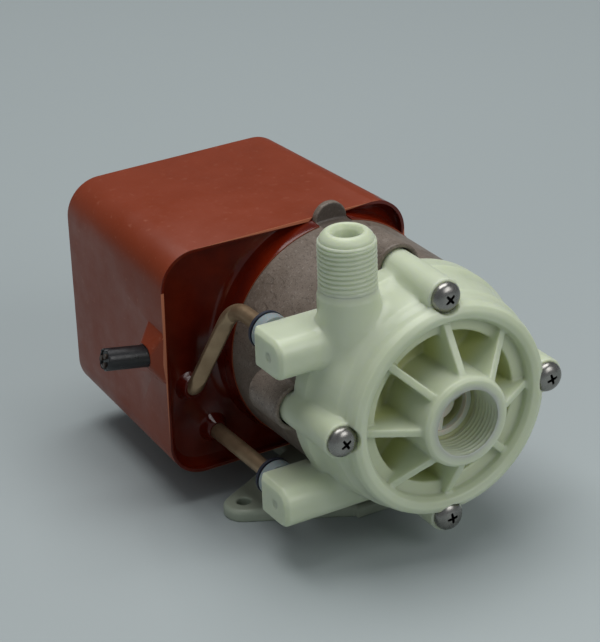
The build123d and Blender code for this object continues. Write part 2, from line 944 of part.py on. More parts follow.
def tube_points():
    """Corners of the cooling tube's middle line, from the upper arm to the lower arm."""
    start_depth = arm_back_depth - sleeve_spigot_length - tube_seat / 2
    hairpin_x = (box_left + box_draft_side + core_left_x - bobbin_reach()) / 2
    return [
        (tube_x, start_depth, upper_tube_z),
        (tube_x, upper_bend_depth, upper_tube_z),
        (well_entry_x, well_entry_depth, well_entry_z),
        (hairpin_x, core_front_depth, well_entry_z),
        (hairpin_x, core_back, well_entry_z),
        (tube_x, core_back, lower_tube_z),
        (tube_x, start_depth, lower_tube_z),
    ]


def tube_along(points, radii):
    """The cooling tube swept along a line with rounded corners."""
    path = FilletPolyline(*points, radius=radii)
    section = Plane(origin=path @ 0, z_dir=path % 0) * Circle(tube_radius)
    return sweep(section, path=path)


def cooling_tube():
    """Metal tube that carries pumped liquid through the motor."""
    return tube_along(
        tube_points(),
        [upper_bend_radius, well_bend_radius, well_bend_radius, hairpin_bend_radius, hairpin_bend_radius],
    )


def hairpin_space():
    """Room in the potting behind the floor of the well, where the tube turns back beside the winding."""
    points = tube_points()
    xs = [x for x, y, z in points[3:]]
    zs = [z for x, y, z in points[3:]]
    room = tube_radius + slip_gap
    return block(
        min(xs) - room,
        max(xs) + room,
        bracket_depth + bearing_length,
        core_back + room,
        min(zs) - room,
        max(zs) + room,
    )


def tube_entries():
    """The two stretches of the tube that pass through the floor of the well."""
    points = tube_points()
    upper = tube_along(points[1:5], [well_bend_radius, well_bend_radius])
    foot_front = recess_floor - resin_foot_rise - 1
    lower = along_y(tube_radius, foot_front, core_front_depth, tube_x, lower_tube_z)
    return upper + lower


def resin_foot(x, z):
    """Foot of resin that climbs a tube where it leaves the floor of the well."""
    lip_radius = tube_radius + resin_foot_lip
    return (
        Pos(x, recess_floor - resin_foot_rise / 2, z)
        * Rot(90, 0, 0)
        * Cone(resin_foot_radius, lip_radius, resin_foot_rise)
    )


def motor_space():
    """Room inside the potted housing for bracket, core, winding and rear bearing plate."""
    space = along_y(ring_radius + slip_gap, 0, bracket_depth)
    space += along_y(lug_radius + slip_gap, 0, lug_back, lug_x, lug_height)
    space += along_y(foot_lug_radius + slip_gap, 0, bracket_depth, 0, -foot_lug_height)
    space += along_y(motor_bolt_z + post_radius + slip_gap, bracket_depth - 1, rear_bracket_back)
    space += block(
        core_left_x,
        core_right_x,
        core_front_depth,
        core_back,
        -core_half_height,
        core_half_height,
    )
    flange_grow = bobbin_reach()
    space += block(
        core_left_x - flange_grow,
        core_left_x + core_limb + flange_grow,
        core_front_depth - flange_grow,
        core_back + flange_grow,
        -window_half_height,
        window_half_height,
    )
    for z in (motor_bolt_z, -motor_bolt_z):
        head_back = rear_bracket_back + motor_bolt_head_height
        space += along_y(motor_bolt_head_radius, rear_bracket_back - 1, head_back, 0, z)
    return space + along_y(shaft_radius + 1, rear_bracket_back - 1, shaft_back + 1)


def motor_housing():
    """Red potted block round the motor, with its shallow front well, collar and cable gusset."""
    housing = box_form() + cable_gusset() - recess_space()
    housing += meniscus_form() & box_form()
    housing += collar_form()
    housing += resin_foot(well_entry_x, well_entry_z) + resin_foot(tube_x, lower_tube_z)
    housing -= motor_space()
    housing -= cable_bar(cable_radius)
    housing -= hairpin_space()
    return housing - tube_entries()


def tube_sleeve(z):
    """Sleeve that holds the cooling tube in its arm."""
    sleeve = along_y(sleeve_radius, arm_back_depth, sleeve_back, tube_x, z)
    sleeve = chamfer(sleeve.edges().group_by(Axis.Y)[-1], sleeve_bevel)
    sleeve += along_y(sleeve_spigot_radius, arm_back_depth - sleeve_spigot_length, arm_back_depth + 1, tube_x, z)
    return sleeve - along_y(tube_radius, 0, sleeve_back + 1, tube_x, z)


def tube_seal(z):
    """Dark rubber ring behind the sleeve."""
    return tube(seal_radius, tube_radius, sleeve_back, seal_back, tube_x, z)


def core_wire_places():
    """Distance and angle of each of the three wires in the cable."""
    return [120 * k + 30 for k in range(3)]


def wire_bar(angle, radius, grow):
    """Bar along one wire of the cable."""
    start = Vector(*cable_start)
    direction = Vector(*cable_end) - start
    length = direction.length + grow
    x, y = polar(core_wire_circle, angle)
    return Plane(origin=start, z_dir=direction) * Pos(x, y, length / 2) * Cylinder(radius, length)


def power_cable():
    """Black jacket of the cut-off cable."""
    jacket = cable_bar(cable_radius)
    for angle in core_wire_places():
        jacket -= wire_bar(angle, core_wire_radius, 1.0)
    return jacket


def cable_cores():
    """Three wires that just show in the cut end."""
    wires = [wire_bar(angle, core_wire_radius, core_wire_proud) for angle in core_wire_places()]
    return Compound(wires)


def base_bolt_rows():
    """Depth and hole spacing of the front and the rear pair of ears."""
    return (
        (base_bolt_depth, base_bolt_spacing),
        (base_bolt_depth + rear_bolt_offset, rear_bolt_spacing),
    )


def base_ears(depth, spacing):
    """Plan of one pair of tapered ears with the spine between them."""
    half_spacing = spacing / 2
    reach = half_spacing - spine_half_width
    root_half = ear_radius / math.cos(math.radians(ear_angle)) + reach * math.tan(math.radians(ear_angle))
    plan = Pos(0, depth) * Rectangle(2 * spine_half_width, 2 * root_half)
    for side in (1, -1):
        tip = Pos(side * half_spacing, depth) * Circle(ear_radius)
        root = Pos(side * spine_half_width, depth) * Rectangle(0.2, 2 * root_half)
        plan += make_hull(tip.edges() + root.edges())
    return plan


def base():
    """Moulded base with four ears, pads under the bracket and a rest under the motor housing."""
    floor = -shaft_height
    top = floor + base_thickness
    rear_depth = base_bolt_depth + rear_bolt_offset
    spine_front = front_base_screw_depth - base_pad_radius - base_pad_margin
    spine_back = rear_depth + base_pad_radius
    plan = Pos(0, (spine_front + spine_back) / 2) * Rectangle(2 * spine_half_width, spine_back - spine_front)
    for depth, spacing in base_bolt_rows():
        plan += base_ears(depth, spacing)
    plate = Pos(0, 0, floor) * extrude(plan, amount=base_thickness)
    plate = chamfer(plate.faces().sort_by(Axis.Z)[-1].edges(), base_edge_bevel)
    for depth, seat in base_screw_seats():
        plate += along_z(base_pad_radius, floor + 1, -seat, 0, depth)
    share = (rear_depth - box_front_depth) / (box_back_depth - box_front_depth)
    rest_top = -(box_half_height - box_draft_top * share) - rest_gap
    plate += block(
        -rear_pad_width / 2,
        rear_pad_width / 2,
        rear_depth - rear_pad_length / 2,
        rear_depth + rear_pad_length / 2,
        top - 1,
        rest_top,
    )
    for depth, seat in base_screw_seats():
        plate -= along_z(base_screw_radius + slip_gap, floor - 1, -seat + 1, 0, depth)
        plate -= along_z(base_screw_head_radius + slip_gap, floor - 1, floor + base_screw_head_height, 0, depth)
    for depth, spacing in base_bolt_rows():
        for side in (1, -1):
            plate -= along_z(base_bolt_radius, floor - 1, top + 1, side * spacing / 2, depth)
    return plate


def base_screws():
    """Two screws from below that hold the bracket on the base."""
    floor = -shaft_height
    screws = []
    for depth, seat in base_screw_seats():
        screw = along_z(base_screw_radius, floor + base_screw_head_height - 1, -seat + base_screw_reach, 0, depth)
        head = along_z(base_screw_head_radius, floor + rest_gap, floor + base_screw_head_height, 0, depth)
        screws.append(screw + head)
    return Compound(screws)


def pieces():
    """Every separate piece of the pump, by name."""
    return {
        "front_housing": front_housing(),
        "rear_housing": rear_housing(),
        "housing_o_ring": housing_o_ring(),
        "housing_screws": housing_screws(),
        "spindle_support": spindle_support(),
        "spindle": spindle(),
        "front_thrust_washer": front_thrust_washer(),
        "rear_thrust_washer": rear_thrust_washer(),
        "impeller": impeller(),
        "impeller_magnet": impeller_magnet(),
        "impeller_bushing": impeller_bushing(),
        "drive_hub": drive_hub(),
        "drive_magnet": drive_magnet(),
        "hub_set_screw": hub_set_screw(),
        "motor_shaft": motor_shaft(),
        "rotor_core": rotor_core(),
        "motor_bracket": motor_bracket(),
        "front_bearing": bearing(bracket_depth, front_bearing_back),
        "rear_bearing": bearing(rear_bearing_front, rear_bracket_back),
        "rear_bearing_bracket": rear_bearing_bracket(),
        "stator_core": stator_core(),
        "shading_rings": shading_rings(),
        "coil_bobbin": coil_bobbin(),
        "motor_winding": motor_winding(),
        "motor_bolts": motor_bolts(),
        "motor_housing": motor_housing(),
        "cooling_tube": cooling_tube(),
        "upper_tube_sleeve": tube_sleeve(upper_tube_z),
        "lower_tube_sleeve": tube_sleeve(lower_tube_z),
        "upper_tube_seal": tube_seal(upper_tube_z),
        "lower_tube_seal": tube_seal(lower_tube_z),
        "power_cable": power_cable(),
        "cable_cores": cable_cores(),
        "base": base(),
        "base_screws": base_screws(),
    }


os.makedirs("parts", exist_ok=True)
for name, shape in pieces().items():
    export_step(place(shape), f"parts/{name}.step")
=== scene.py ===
import bpy
import bmesh
import json
import math
import numpy as np
from mathutils import Matrix, Vector


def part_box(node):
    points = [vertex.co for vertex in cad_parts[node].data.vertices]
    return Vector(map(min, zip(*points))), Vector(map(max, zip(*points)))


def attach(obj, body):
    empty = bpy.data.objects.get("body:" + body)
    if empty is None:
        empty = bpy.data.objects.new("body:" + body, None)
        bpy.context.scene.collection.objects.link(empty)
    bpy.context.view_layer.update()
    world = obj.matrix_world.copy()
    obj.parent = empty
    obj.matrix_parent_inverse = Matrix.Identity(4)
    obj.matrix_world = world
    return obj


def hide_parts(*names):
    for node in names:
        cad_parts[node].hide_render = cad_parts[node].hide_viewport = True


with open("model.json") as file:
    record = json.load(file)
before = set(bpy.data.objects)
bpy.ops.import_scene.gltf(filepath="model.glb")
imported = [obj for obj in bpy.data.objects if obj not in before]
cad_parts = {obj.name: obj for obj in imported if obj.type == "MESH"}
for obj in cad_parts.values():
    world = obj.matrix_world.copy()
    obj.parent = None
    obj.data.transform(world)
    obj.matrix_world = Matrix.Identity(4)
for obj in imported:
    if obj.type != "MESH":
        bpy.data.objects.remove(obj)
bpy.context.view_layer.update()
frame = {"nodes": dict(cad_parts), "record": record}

# Looks of the magnetic drive pump. Places are given as (x, depth, z) in millimetres round the pump axis,
# with depth measured back from the face of the inlet hub, and at() turns them into metres.

mm = 0.001
full_turn = 2 * math.pi
nodes = frame["nodes"]
mounts = {mount["name"]: mount for mount in frame["record"]["mounts"]}
axis_start = Vector(mounts["inlet"]["pos_m"])
outlet_mount = mounts["outlet"]
outlet_place = Vector(outlet_mount["pos_m"])


def at(x, depth, z):
    """A place round the pump axis, in metres."""
    return axis_start + Vector((x, depth, z)) * mm


# Sizes of the pump that the pieces below share, in millimetres
hub_radius = 17.7
inlet_bore_radius = mounts["inlet"]["dims"]["r_mm"]
rim_radius = 38.4
rim_round = 3.6
pocket_floor = 27.0
outlet_radius = outlet_mount["dims"]["r_mm"]
outlet_x = (outlet_place.x - axis_start.x) / mm
outlet_depth = (outlet_place.y - axis_start.y) / mm
outlet_top = (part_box("front_housing")[1].z - axis_start.z) / mm
outlet_lead = (outlet_place.z - axis_start.z) / mm
outlet_bore_radius = 4.8
outlet_mouth_radius = 6.2
outlet_mouth_length = 1.6
outlet_tip_radius = 8.2
outlet_lead_radius = 9.9
outlet_lead_rises = (
    (outlet_radius - 0.15, -0.85),
    (outlet_radius - 0.20, -0.45),
    (outlet_radius - 0.45, -0.15),
    (outlet_lead_radius + 0.1, 0.0),
    (outlet_lead_radius, 0.2),
    (outlet_lead_radius - 0.05, 0.8),
    (outlet_lead_radius - 0.3, 1.25),
    (9.1, 1.85),
    (8.6, 2.4),
)
outlet_tip_drops = (
    (outlet_tip_radius - 0.2, 0.35),
    (7.6, 0.12),
    (7.0, 0.0),
    (6.5, 0.05),
    (outlet_mouth_radius, 0.3),
    (5.9, 0.6),
    (outlet_bore_radius + 0.3, outlet_mouth_length),
    (outlet_bore_radius, outlet_mouth_length + 0.5),
)
thread_pitch = 25.4 / 14
thread_length = outlet_mount["dims"]["length_mm"]
thread_low = outlet_lead - thread_length
thread_steps = 144
thread_depth = 0.55
inlet_thread_depth = 0.38
inlet_thread_start = 0.9
inlet_thread_end = 14.3
inlet_thread_outer = inlet_bore_radius + 2.6
inlet_mouth = (
    (inlet_thread_outer, inlet_thread_end),
    (inlet_thread_outer, 0.35),
    (14.9, 0.05),
    (inlet_bore_radius + 1.0, 0.0),
    (inlet_bore_radius + 0.35, 0.35),
)
screw_circle = 44.8
screw_seat_depth = 14.5
screw_head_radius = 5.8
screw_head_height = 4.0
screw_radius = 3.0
screw_shank_length = 42.0
screw_places = (
    (screw_circle, 0, 0.25),
    (0, screw_circle, 0.7),
    (-screw_circle, 0, 0.55),
    (0, -screw_circle, 0.15),
)
recess_reach = 2.25
recess_floor = 2.0
shoulder_depth = 16.5
flange_depth = 49.0
arm_end_x = -59.5
arm_end_limit = arm_end_x + 1.5
arm_middles = ((39.0, 27.2), (39.0, -33.2))
gate_radius = 2.2
gate_sink = 0.4
ridge_pitch = 1.7
ridge_height = 0.09
tube_radius = 3.175
slope_top = (-50.0, 80.5, 28.8)
slope_low = (-59.2, 99.3, -11.4)
crease_sink = 1.25
crease_facing = (-0.30, -0.85, 0.43)
box_left = -71.3
box_right = 36.3
box_half_height = 47.0
box_front_depth = 97.9
box_wall = 1.3
box_edge = 0.45
well_floor_depth = 103.1
ring_radius = 45.3
collar_front_depth = 92.3
collar_reach = 51.0
bracket_front_depth = 45.3
boss_radius = 6.8
boss_back_depth = 48.6
lug_x = 1.9
lug_height = 45.4
lug_radius = 7.0
lug_front_depth = 95.5
cable_radius = 4.4
cable_start = (-70.6, 104.0, 4.9)
cable_end = (-93.3, 105.1, 8.6)
cable_cut = (
    (cable_radius, -0.5, 0.10),
    (cable_radius - 0.25, -0.2, 0.16),
    (cable_radius - 0.7, -0.3, 0.12),
    (cable_radius - 1.0, -0.9, 0.05),
    (1.0, -0.8, 0.0),
)

# Voxel sizes that the moulded pieces are melted at, in millimetres
housing_voxel = 0.45
bracket_voxel = 0.45
tube_voxel = 0.4
foot_voxel = 0.6


# The photograph's camera: a long lens from the left, above the pump
camera_angles = (-29.64, 25.83, -2.25)
camera_place = (-0.44638, -0.74665, 0.49015)
focal_pixels = 2520.97
photo_long_side = 642


def add_camera():
    """Camera at the photograph's place, by azimuth, elevation and roll in degrees."""
    azimuth, elevation, roll = (math.radians(angle) for angle in camera_angles)
    back = Vector((
        math.sin(azimuth) * math.cos(elevation),
        -math.cos(azimuth) * math.cos(elevation),
        math.sin(elevation),
    ))
    right = Vector((0, 0, 1)).cross(back).normalized()
    up = back.cross(right)
    turned_right = right * math.cos(roll) + up * math.sin(roll)
    turned_up = up * math.cos(roll) - right * math.sin(roll)
    data = bpy.data.cameras.new("photo_camera")
    data.sensor_width = 36.0
    data.lens = focal_pixels * data.sensor_width / photo_long_side
    data.clip_start = 0.05
    data.clip_end = 20.0
    camera = bpy.data.objects.new("photo_camera", data)
    bpy.context.scene.collection.objects.link(camera)
    turn = Matrix((turned_right, turned_up, back)).transposed().to_4x4()
    camera.matrix_world = Matrix.Translation(Vector(camera_place)) @ turn
    bpy.context.scene.camera = camera


# Mesh helpers

def new_object(name, vertices, faces, smooth=True):
    """A mesh object from vertices in metres."""
    mesh = bpy.data.meshes.new(name)
    mesh.from_pydata([tuple(v) for v in vertices], [], faces)
    mesh.validate()
    mesh.update()
    built = bpy.data.objects.new(name, mesh)
    bpy.context.scene.collection.objects.link(built)
    if smooth:
        mesh.shade_smooth()
        mesh.set_sharp_from_angle(angle=math.radians(40))
    return built


def grid_object(name, rows, closed_rows=False):
    """A mesh from equal rings of points. The last ring joins the first one, or else both are capped."""
    count = len(rows[0])
    vertices = [point for row in rows for point in row]
    faces = []
    row_pairs = list(zip(range(len(rows) - 1), range(1, len(rows))))
    if closed_rows:
        row_pairs.append((len(rows) - 1, 0))
    for low, high in row_pairs:
        for k in range(count):
            after = (k + 1) % count
            faces.append((low * count + k, low * count + after, high * count + after, high * count + k))
    if not closed_rows:
        faces.append(tuple(reversed(range(count))))
        faces.append(tuple(range((len(rows) - 1) * count, len(rows) * count)))
    built = new_object(name, vertices, faces)
    face_out(built)
    return built


def face_out(built):
    """Turn every face outward."""
    work = bmesh.new()
    work.from_mesh(built.data)
    bmesh.ops.recalc_face_normals(work, faces=work.faces)
    work.to_mesh(built.data)
    work.free()


def round_angles(steps):
    """Equal angles round a full turn."""
    return [full_turn * k / steps for k in range(steps)]


def axis_ring(radii, depth, x=0.0, z=0.0):
    """A ring of points square to the pump axis, one for each of the radii."""
    return [
        at(x + radius * math.cos(angle), depth, z + radius * math.sin(angle))
        for radius, angle in zip(radii, round_angles(len(radii)))
    ]


def evaluated(built):
    """Apply the modifiers of an object to its own mesh."""
    graph = bpy.context.evaluated_depsgraph_get()
    made = bpy.data.meshes.new_from_object(built.evaluated_get(graph))
    old = built.data
    built.modifiers.clear()
    built.data = made
    bpy.data.meshes.remove(old)


def welded_copy(name, node):
    """A copy of a CAD node's mesh with its split vertices joined."""
    mesh = nodes[node].data.copy()
    mesh.name = name
    work = bmesh.new()
    work.from_mesh(mesh)
    bmesh.ops.remove_doubles(work, verts=work.verts, dist=1e-6)
    work.to_mesh(mesh)
    work.free()
    mesh.materials.clear()
    built = bpy.data.objects.new(name, mesh)
    bpy.context.scene.collection.objects.link(built)
    return built


def softened(built, voxel, rounds):
    """Melt the edges of a piece as moulding or casting leaves them."""
    remesh = built.modifiers.new("remesh", "REMESH")
    remesh.mode = "VOXEL"
    remesh.voxel_size = voxel * mm
    smooth = built.modifiers.new("smooth", "SMOOTH")
    smooth.factor = 0.5
    smooth.iterations = rounds
    evaluated(built)
    built.data.shade_smooth()
    return built


def get_points(built):
    """Vertices of a piece as an array of (x, depth, z) in millimetres."""
    flat = np.empty(len(built.data.vertices) * 3)
    built.data.vertices.foreach_get("co", flat)
    return (flat.reshape(-1, 3) - np.array(axis_start)) / mm


def set_points(built, points):
    """Put the vertices of a piece at an array of (x, depth, z) in millimetres."""
    built.data.vertices.foreach_set("co", (points * mm + np.array(axis_start)).ravel())
    built.data.update()


def move_points(built, rule):
    """Move every vertex by rule(array of (x, depth, z) in millimetres), which returns the new array."""
    set_points(built, rule(get_points(built)))


def smooth_step(values, low, high):
    """0 below low, 1 above high, and a soft rise between."""
    share = np.clip((values - low) / (high - low), 0.0, 1.0)
    return share * share * (3 - 2 * share)


def fill_corners(built, rounds, weight):
    """Fill inner corners as a mould's fillets do: a vertex moves outward only, by its own weight."""
    mesh = built.data
    count = len(mesh.vertices)
    pairs = np.empty(len(mesh.edges) * 2, dtype=np.int64)
    mesh.edges.foreach_get("vertices", pairs)
    first, second = pairs.reshape(-1, 2).T
    valence = np.maximum(np.bincount(first, minlength=count) + np.bincount(second, minlength=count), 1)
    points = get_points(built)
    share = weight(points)
    normals = np.empty(count * 3)
    for number in range(rounds):
        if number % 8 == 0:
            set_points(built, points)
            mesh.vertex_normals.foreach_get("vector", normals)
            facing = normals.reshape(-1, 3)
        mean = np.empty_like(points)
        for axis in range(3):
            line = points[:, axis]
            total = np.bincount(first, line[second], count) + np.bincount(second, line[first], count)
            mean[:, axis] = total / valence
        outward = np.clip(((mean - points) * facing).sum(1), 0.0, None)
        points = points + facing * (outward * share * 0.9)[:, None]
    set_points(built, points)


def paint(built, name, values, domain="POINT"):
    """Store one number per vertex or face, for a shader to read."""
    layer = built.data.attributes.new(name, "FLOAT", domain)
    layer.data.foreach_set("value", np.asarray(values, dtype=np.float32))


def finish_piece(built, body, slot, *replaced):
    """Give a piece the material of its slot, and the body that it rides on."""
    built.data.materials.clear()
    built.data.materials.append(materials[slot])
    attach(built, body)
    if replaced:
        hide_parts(*replaced)
    return built


# Materials

class Shader:
    """A node tree with a Principled shader, and short calls for the nodes that feed it."""

    def __init__(self, name, **sockets):
        self.material = bpy.data.materials.new(name)
        self.material.use_nodes = True
        self.tree = self.material.node_tree
        self.shader = self.tree.nodes["Principled BSDF"]
        self.place = self.tree.nodes.new("ShaderNodeTexCoord").outputs["Object"]
        for key, value in sockets.items():
            self.shader.inputs[key.replace("_", " ")].default_value = value

    def link(self, source, node, socket):
        """Join an output to an input of a node."""
        self.tree.links.new(source, node.inputs[socket])

    def noise(self, scale, detail=4.0, roughness=0.55, distortion=0.0, stretch=(1, 1, 1)):
        """Noise fixed to the piece, stretched along its axes."""
        mapping = self.tree.nodes.new("ShaderNodeMapping")
        mapping.inputs["Scale"].default_value = stretch
        self.link(self.place, mapping, "Vector")
        texture = self.tree.nodes.new("ShaderNodeTexNoise")
        texture.inputs["Scale"].default_value = scale
        texture.inputs["Detail"].default_value = detail
        texture.inputs["Roughness"].default_value = roughness
        texture.inputs["Distortion"].default_value = distortion
        self.link(mapping.outputs["Vector"], texture, "Vector")
        return texture.outputs["Fac"]

    def ramp(self, source, *stops):
        """Colours at places along 0 to 1."""
        node = self.tree.nodes.new("ShaderNodeValToRGB")
        elements = node.color_ramp.elements
        while len(elements) < len(stops):
            elements.new(0.5)
        for element, (position, colour) in zip(elements, stops):
            element.position = position
            element.color = (*colour, 1.0)
        self.link(source, node, "Fac")
        return node.outputs["Color"]

    def span(self, source, low, high, to_low, to_high):
        """A number carried from one range to another."""
        node = self.tree.nodes.new("ShaderNodeMapRange")
        for key, value in (("From Min", low), ("From Max", high), ("To Min", to_low), ("To Max", to_high)):
            node.inputs[key].default_value = value
        self.link(source, node, "Value")
        return node.outputs["Result"]

    def mix(self, factor, first, second):
        """The first colour where the factor is 0, and the second where it is 1."""
        node = self.tree.nodes.new("ShaderNodeMix")
        node.data_type = "RGBA"
        self.link(factor, node, "Factor")
        for socket, value in ((6, first), (7, second)):
            if isinstance(value, tuple):
                node.inputs[socket].default_value = (*value, 1.0)
            else:
                self.tree.links.new(value, node.inputs[socket])
        return node.outputs[2]

    def times(self, first, second):
        """Two numbers multiplied."""
        node = self.tree.nodes.new("ShaderNodeMath")
        node.operation = "MULTIPLY"
        self.link(first, node, 0)
        self.link(second, node, 1)
        return node.outputs[0]

    def painted(self, name):
        """A number stored on the mesh by paint(), 0 where a mesh has none."""
        node = self.tree.nodes.new("ShaderNodeAttribute")
        node.attribute_name = name
        return node.outputs["Fac"]

    def colour(self, source):
        """Set the base colour."""
        self.link(source, self.shader, "Base Color")

    def rough(self, source):
        """Set the roughness."""
        self.link(source, self.shader, "Roughness")

    def bump(self, *layers):
        """Each layer is (height output, distance in millimetres, strength)."""
        last = None
        for height, distance, strength in layers:
            node = self.tree.nodes.new("ShaderNodeBump")
            node.inputs["Distance"].default_value = distance * mm
            node.inputs["Strength"].default_value = strength
            self.link(height, node, "Height")
            if last is not None:
                self.link(last, node, "Normal")
            last = node.outputs["Normal"]
        self.link(last, self.shader, "Normal")


def pale_plastic():
    """Natural polypropylene: milky, a little green, satin, with a yellower painted shade tint in its hollows, and
    faint flow marks.
    """
    s = Shader("pale_plastic", Subsurface_Weight=0.75, Subsurface_Scale=0.005, IOR=1.49)
    s.shader.inputs["Subsurface Radius"].default_value = (1.0, 1.0, 0.7)
    cloud = s.noise(38.0, detail=3.0)
    outside = s.ramp(cloud, (0.3, (0.54, 0.595, 0.43)), (0.7, (0.60, 0.655, 0.50)))
    # Painted shade: a yellower copy of the colour, mixed in where paint() marks hollows, stands in for translucent
    # shade in pockets and bores.
    hollow_shade_tint = s.ramp(cloud, (0.3, (0.55, 0.585, 0.29)), (0.7, (0.61, 0.645, 0.35)))
    base = s.mix(s.painted("hollow_shade_tint"), outside, hollow_shade_tint)
    s.colour(s.mix(s.painted("mark"), base, (0.26, 0.29, 0.23)))
    s.rough(s.span(s.noise(160.0), 0.3, 0.7, 0.28, 0.42))
    s.bump(
        (s.noise(45.0, detail=2.0), 0.35, 0.35),
        (s.noise(1400.0, detail=3.0), 0.03, 0.35),
        (s.times(s.noise(900.0, detail=2.0), s.painted("frost")), 0.25, 0.7),
    )
    return s.material


def red_epoxy():
    """Brick red cast epoxy: satin outside, glossy in the well, with painted shade in the well and a painted highlight
    along the rim.
    """
    s = Shader("red_epoxy", Specular_IOR_Level=0.38)
    blotch = s.noise(22.0, detail=5.0, roughness=0.6)
    fine = s.noise(420.0, detail=3.0)
    well = s.painted("well")
    base = s.ramp(blotch, (0.3, (0.200, 0.029, 0.006)), (0.7, (0.228, 0.035, 0.009)))
    base = s.mix(s.span(fine, 0.62, 0.8, 0.0, 0.5), base, (0.36, 0.12, 0.07))
    # Painted shade: inside the well the colour is painted much darker, with lighter blotches for its orange glow.
    well_shade = s.ramp(blotch, (0.35, (0.055, 0.0030, 0.001)), (0.72, (0.16, 0.013, 0.002)))
    base = s.mix(well, base, well_shade)
    # Painted highlight: a lighter orange where paint() marks the rim's outer edge and, weaker, the lip round the
    # collar.
    s.colour(s.mix(s.painted("edge"), base, (0.46, 0.15, 0.075)))
    dry = s.span(s.noise(90.0), 0.3, 0.7, 0.36, 0.50)
    s.rough(s.times(dry, s.span(well, 0.0, 1.0, 1.0, 0.36)))
    s.bump(
        (s.noise(30.0, detail=2.0), 0.5, 0.3),
        (s.noise(700.0, detail=4.0), 0.05, 0.3),
    )
    return s.material


def brown_phenolic():
    """Brown grey moulding compound with fine specks."""
    s = Shader("brown_phenolic", IOR=1.5)
    cloud = s.noise(60.0, detail=6.0, roughness=0.65)
    speck = s.noise(900.0, detail=2.0)
    scratch = s.noise(420.0, detail=6.0, roughness=0.7, distortion=2.5, stretch=(1.0, 0.25, 0.6))
    base = s.ramp(cloud, (0.3, (0.135, 0.104, 0.080)), (0.7, (0.215, 0.172, 0.140)))
    base = s.mix(s.span(speck, 0.56, 0.72, 0.0, 0.5), base, (0.33, 0.285, 0.25))
    base = s.mix(s.span(s.noise(1900.0), 0.57, 0.67, 0.0, 0.8), base, (0.035, 0.024, 0.018))
    base = s.mix(s.span(scratch, 0.58, 0.64, 0.0, 0.6), base, (0.05, 0.036, 0.028))
    s.colour(s.mix(s.painted("shade"), base, (0.022, 0.016, 0.012)))
    s.rough(s.span(s.noise(200.0), 0.3, 0.7, 0.34, 0.52))
    s.bump((s.noise(500.0, detail=4.0), 0.06, 0.4))
    return s.material


def plain_noise(name, low, high, scale, rough_low, rough_high, bump_mm, bump_scale, **sockets):
    """A two tone finish with its own roughness and grain."""
    s = Shader(name, **sockets)
    s.colour(s.ramp(s.noise(scale), (0.3, low), (0.7, high)))
    s.rough(s.span(s.noise(scale * 3), 0.3, 0.7, rough_low, rough_high))
    s.bump((s.noise(bump_scale), bump_mm, 0.5))
    return s.material


def steel():
    """Worn stainless steel, painted black as painted shade in the floor of a screw's recess."""
    s = Shader("stainless_steel", Metallic=1.0)
    base = s.ramp(s.noise(200.0), (0.3, (0.23, 0.225, 0.21)), (0.7, (0.32, 0.31, 0.29)))
    # Painted shade: near black where paint() marks the cross recess.
    s.colour(s.mix(s.painted("recess"), base, (0.006, 0.006, 0.006)))
    s.rough(s.span(s.noise(600.0), 0.3, 0.7, 0.22, 0.34))
    s.bump((s.noise(900.0), 0.02, 0.5))
    return s.material


def make_materials():
    """One finish for each material slot."""
    return {
        "pale_polypropylene": pale_plastic(),
        "red_epoxy": red_epoxy(),
        "brown_moulded_phenolic": brown_phenolic(),
        "black_rubber": plain_noise(
            "black_rubber", (0.010, 0.012, 0.026), (0.02, 0.023, 0.042), 120, 0.5, 0.65, 0.04, 600
        ),
        "stainless_steel": steel(),
        "white_ceramic": plain_noise(
            "white_ceramic", (0.74, 0.73, 0.69), (0.80, 0.79, 0.75), 100, 0.2, 0.3, 0.01, 600
        ),
        "magnet_ferrite": plain_noise(
            "magnet_ferrite", (0.03, 0.03, 0.032), (0.06, 0.06, 0.062), 300, 0.4, 0.6, 0.05, 700
        ),
        "carbon": plain_noise(
            "carbon", (0.02, 0.02, 0.02), (0.04, 0.04, 0.042), 300, 0.35, 0.5, 0.02, 900
        ),
        "cast_aluminium": plain_noise(
            "cast_aluminium", (0.48, 0.48, 0.49), (0.60, 0.60, 0.61), 150, 0.4, 0.6, 0.08, 400, Metallic=1.0
        ),
        "electrical_steel": plain_noise(
            "electrical_steel", (0.20, 0.20, 0.21), (0.30, 0.30, 0.31), 150, 0.35, 0.5, 0.04, 800, Metallic=1.0
        ),
        "bronze": plain_noise(
            "bronze", (0.42, 0.28, 0.12), (0.56, 0.38, 0.17), 200, 0.35, 0.5, 0.04, 900, Metallic=1.0
        ),
        "copper": plain_noise(
            "copper", (0.55, 0.25, 0.13), (0.70, 0.34, 0.18), 200, 0.25, 0.4, 0.03, 900, Metallic=1.0
        ),
        "white_nylon": plain_noise(
            "white_nylon", (0.22, 0.265, 0.275), (0.29, 0.335, 0.34), 60, 0.35, 0.5, 0.03, 500, Subsurface_Weight=0.3,
            Subsurface_Scale=0.002,
        ),
        "tan_copper_nickel": plain_noise(
            "tan_copper_nickel", (0.25, 0.165, 0.095), (0.38, 0.27, 0.165), 90, 0.34, 0.5, 0.06, 500, Metallic=0.7
        ),
        "black_cable": plain_noise(
            "black_cable", (0.004, 0.004, 0.005), (0.009, 0.009, 0.011), 120, 0.24, 0.42, 0.03, 300
        ),
        "grey_green_plastic": plain_noise(
            "grey_green_plastic", (0.33, 0.37, 0.285), (0.41, 0.455, 0.36), 70, 0.32, 0.46, 0.05, 500
        ),
    }


materials = make_materials()


